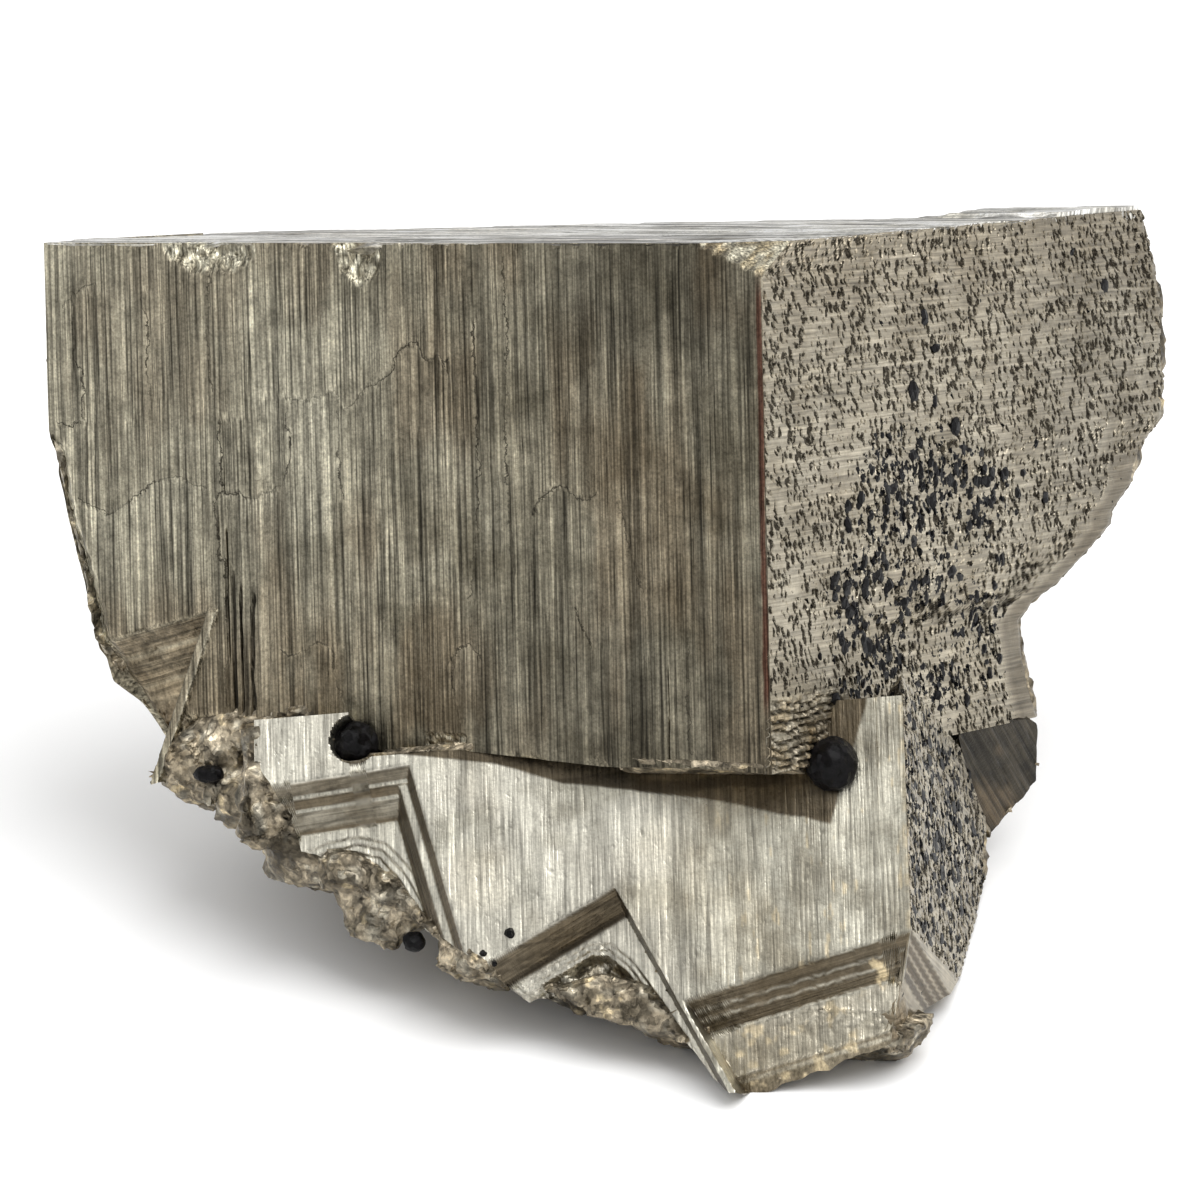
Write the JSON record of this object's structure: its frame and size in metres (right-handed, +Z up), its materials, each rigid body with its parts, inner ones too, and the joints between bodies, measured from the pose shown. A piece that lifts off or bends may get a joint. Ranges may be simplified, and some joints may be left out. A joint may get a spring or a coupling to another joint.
{
  "type": "pyrite specimen",
  "caption": "Pyrite mineral specimen: a large striated cube grown into a tilted lower cube with stepped ledges, pitted sides, a broken underside and small black crystals.",
  "frame": {"origin": "bottom centre of the bounding box, on the surface that the specimen rests on", "axes": "+Z up as it rests, +X right along the large crystal's striated front face, +Y into the specimen"},
  "size_m": [0.1104, 0.1102, 0.0821],
  "materials": {
    "pyrite": "metallic, striated and tarnished",
    "black_crystal": "faceted, slightly glossy"
  },
  "bodies": {
    "root": {"pyrite": "pyrite", "black_left": "black_crystal", "black_right": "black_crystal", "black_hollow": "black_crystal", "black_small": "black_crystal"}
  },
  "joints": []
}
